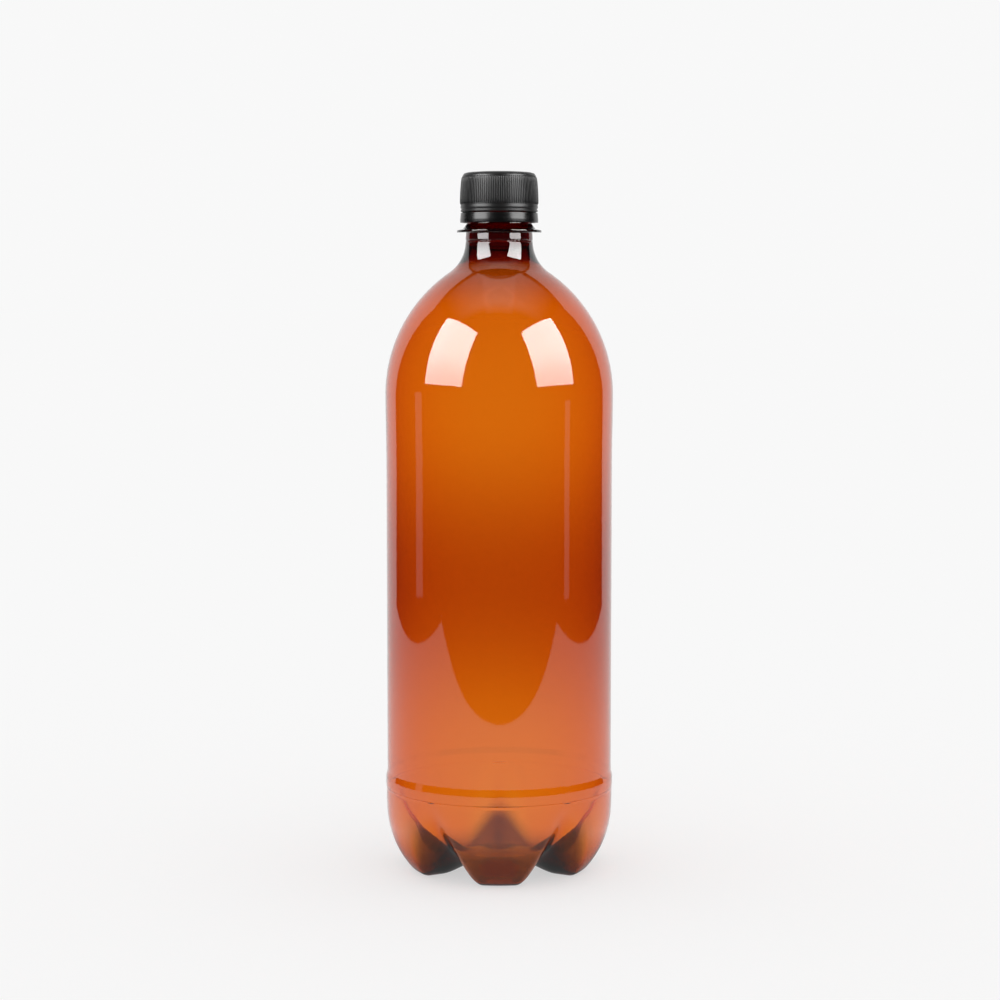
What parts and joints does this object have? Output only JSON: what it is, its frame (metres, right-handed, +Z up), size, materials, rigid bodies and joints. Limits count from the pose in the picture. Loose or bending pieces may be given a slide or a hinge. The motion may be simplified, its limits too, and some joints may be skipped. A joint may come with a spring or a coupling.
{
  "type": "plastic drinks bottle with screw cap",
  "caption": "Amber blown plastic drinks bottle with a footed base, domed shoulder and screw neck, closed by a ribbed black screw cap with a tamper band.",
  "frame": {"origin": "on the floor under the bottle's axis", "axes": "+Z up along the bottle's axis, towards the cap; one of the five feet points to -Y"},
  "size_m": [0.0892, 0.0892, 0.273],
  "materials": {
    "amber_plastic": "clear amber PET, glossy, blown",
    "cap_black": "satin moulded polypropylene",
    "liner_white": "soft pale sealing compound",
    "band_black": "smooth satin moulded polypropylene"
  },
  "bodies": {
    "bottle": {"bottle_body": "amber_plastic"},
    "liner": {"cap_liner": "liner_white"},
    "cap": {"cap_shell": "cap_black"},
    "band": {"tamper_band": "band_black"}
  },
  "joints": [
    {"name": "cap_rise", "type": "slide", "parent": "bottle", "child": "liner", "axis": [0, 0, 1], "range_m": [0, 0.0159]},
    {"name": "cap_unscrew", "type": "hinge", "parent": "liner", "child": "cap", "pos_m": [0, 0, 0.2655], "axis": [0, 0, 1], "range_deg": [0, 1800]},
    {"name": "band_drop", "type": "slide", "parent": "bottle", "child": "band", "axis": [0, 0, 1], "range_m": [-0.0018, 0]}
  ],
  "couplings": [
    {"joint": "cap_rise", "follows": "cap_unscrew", "m_per_rad": 0.00050532}
  ]
}
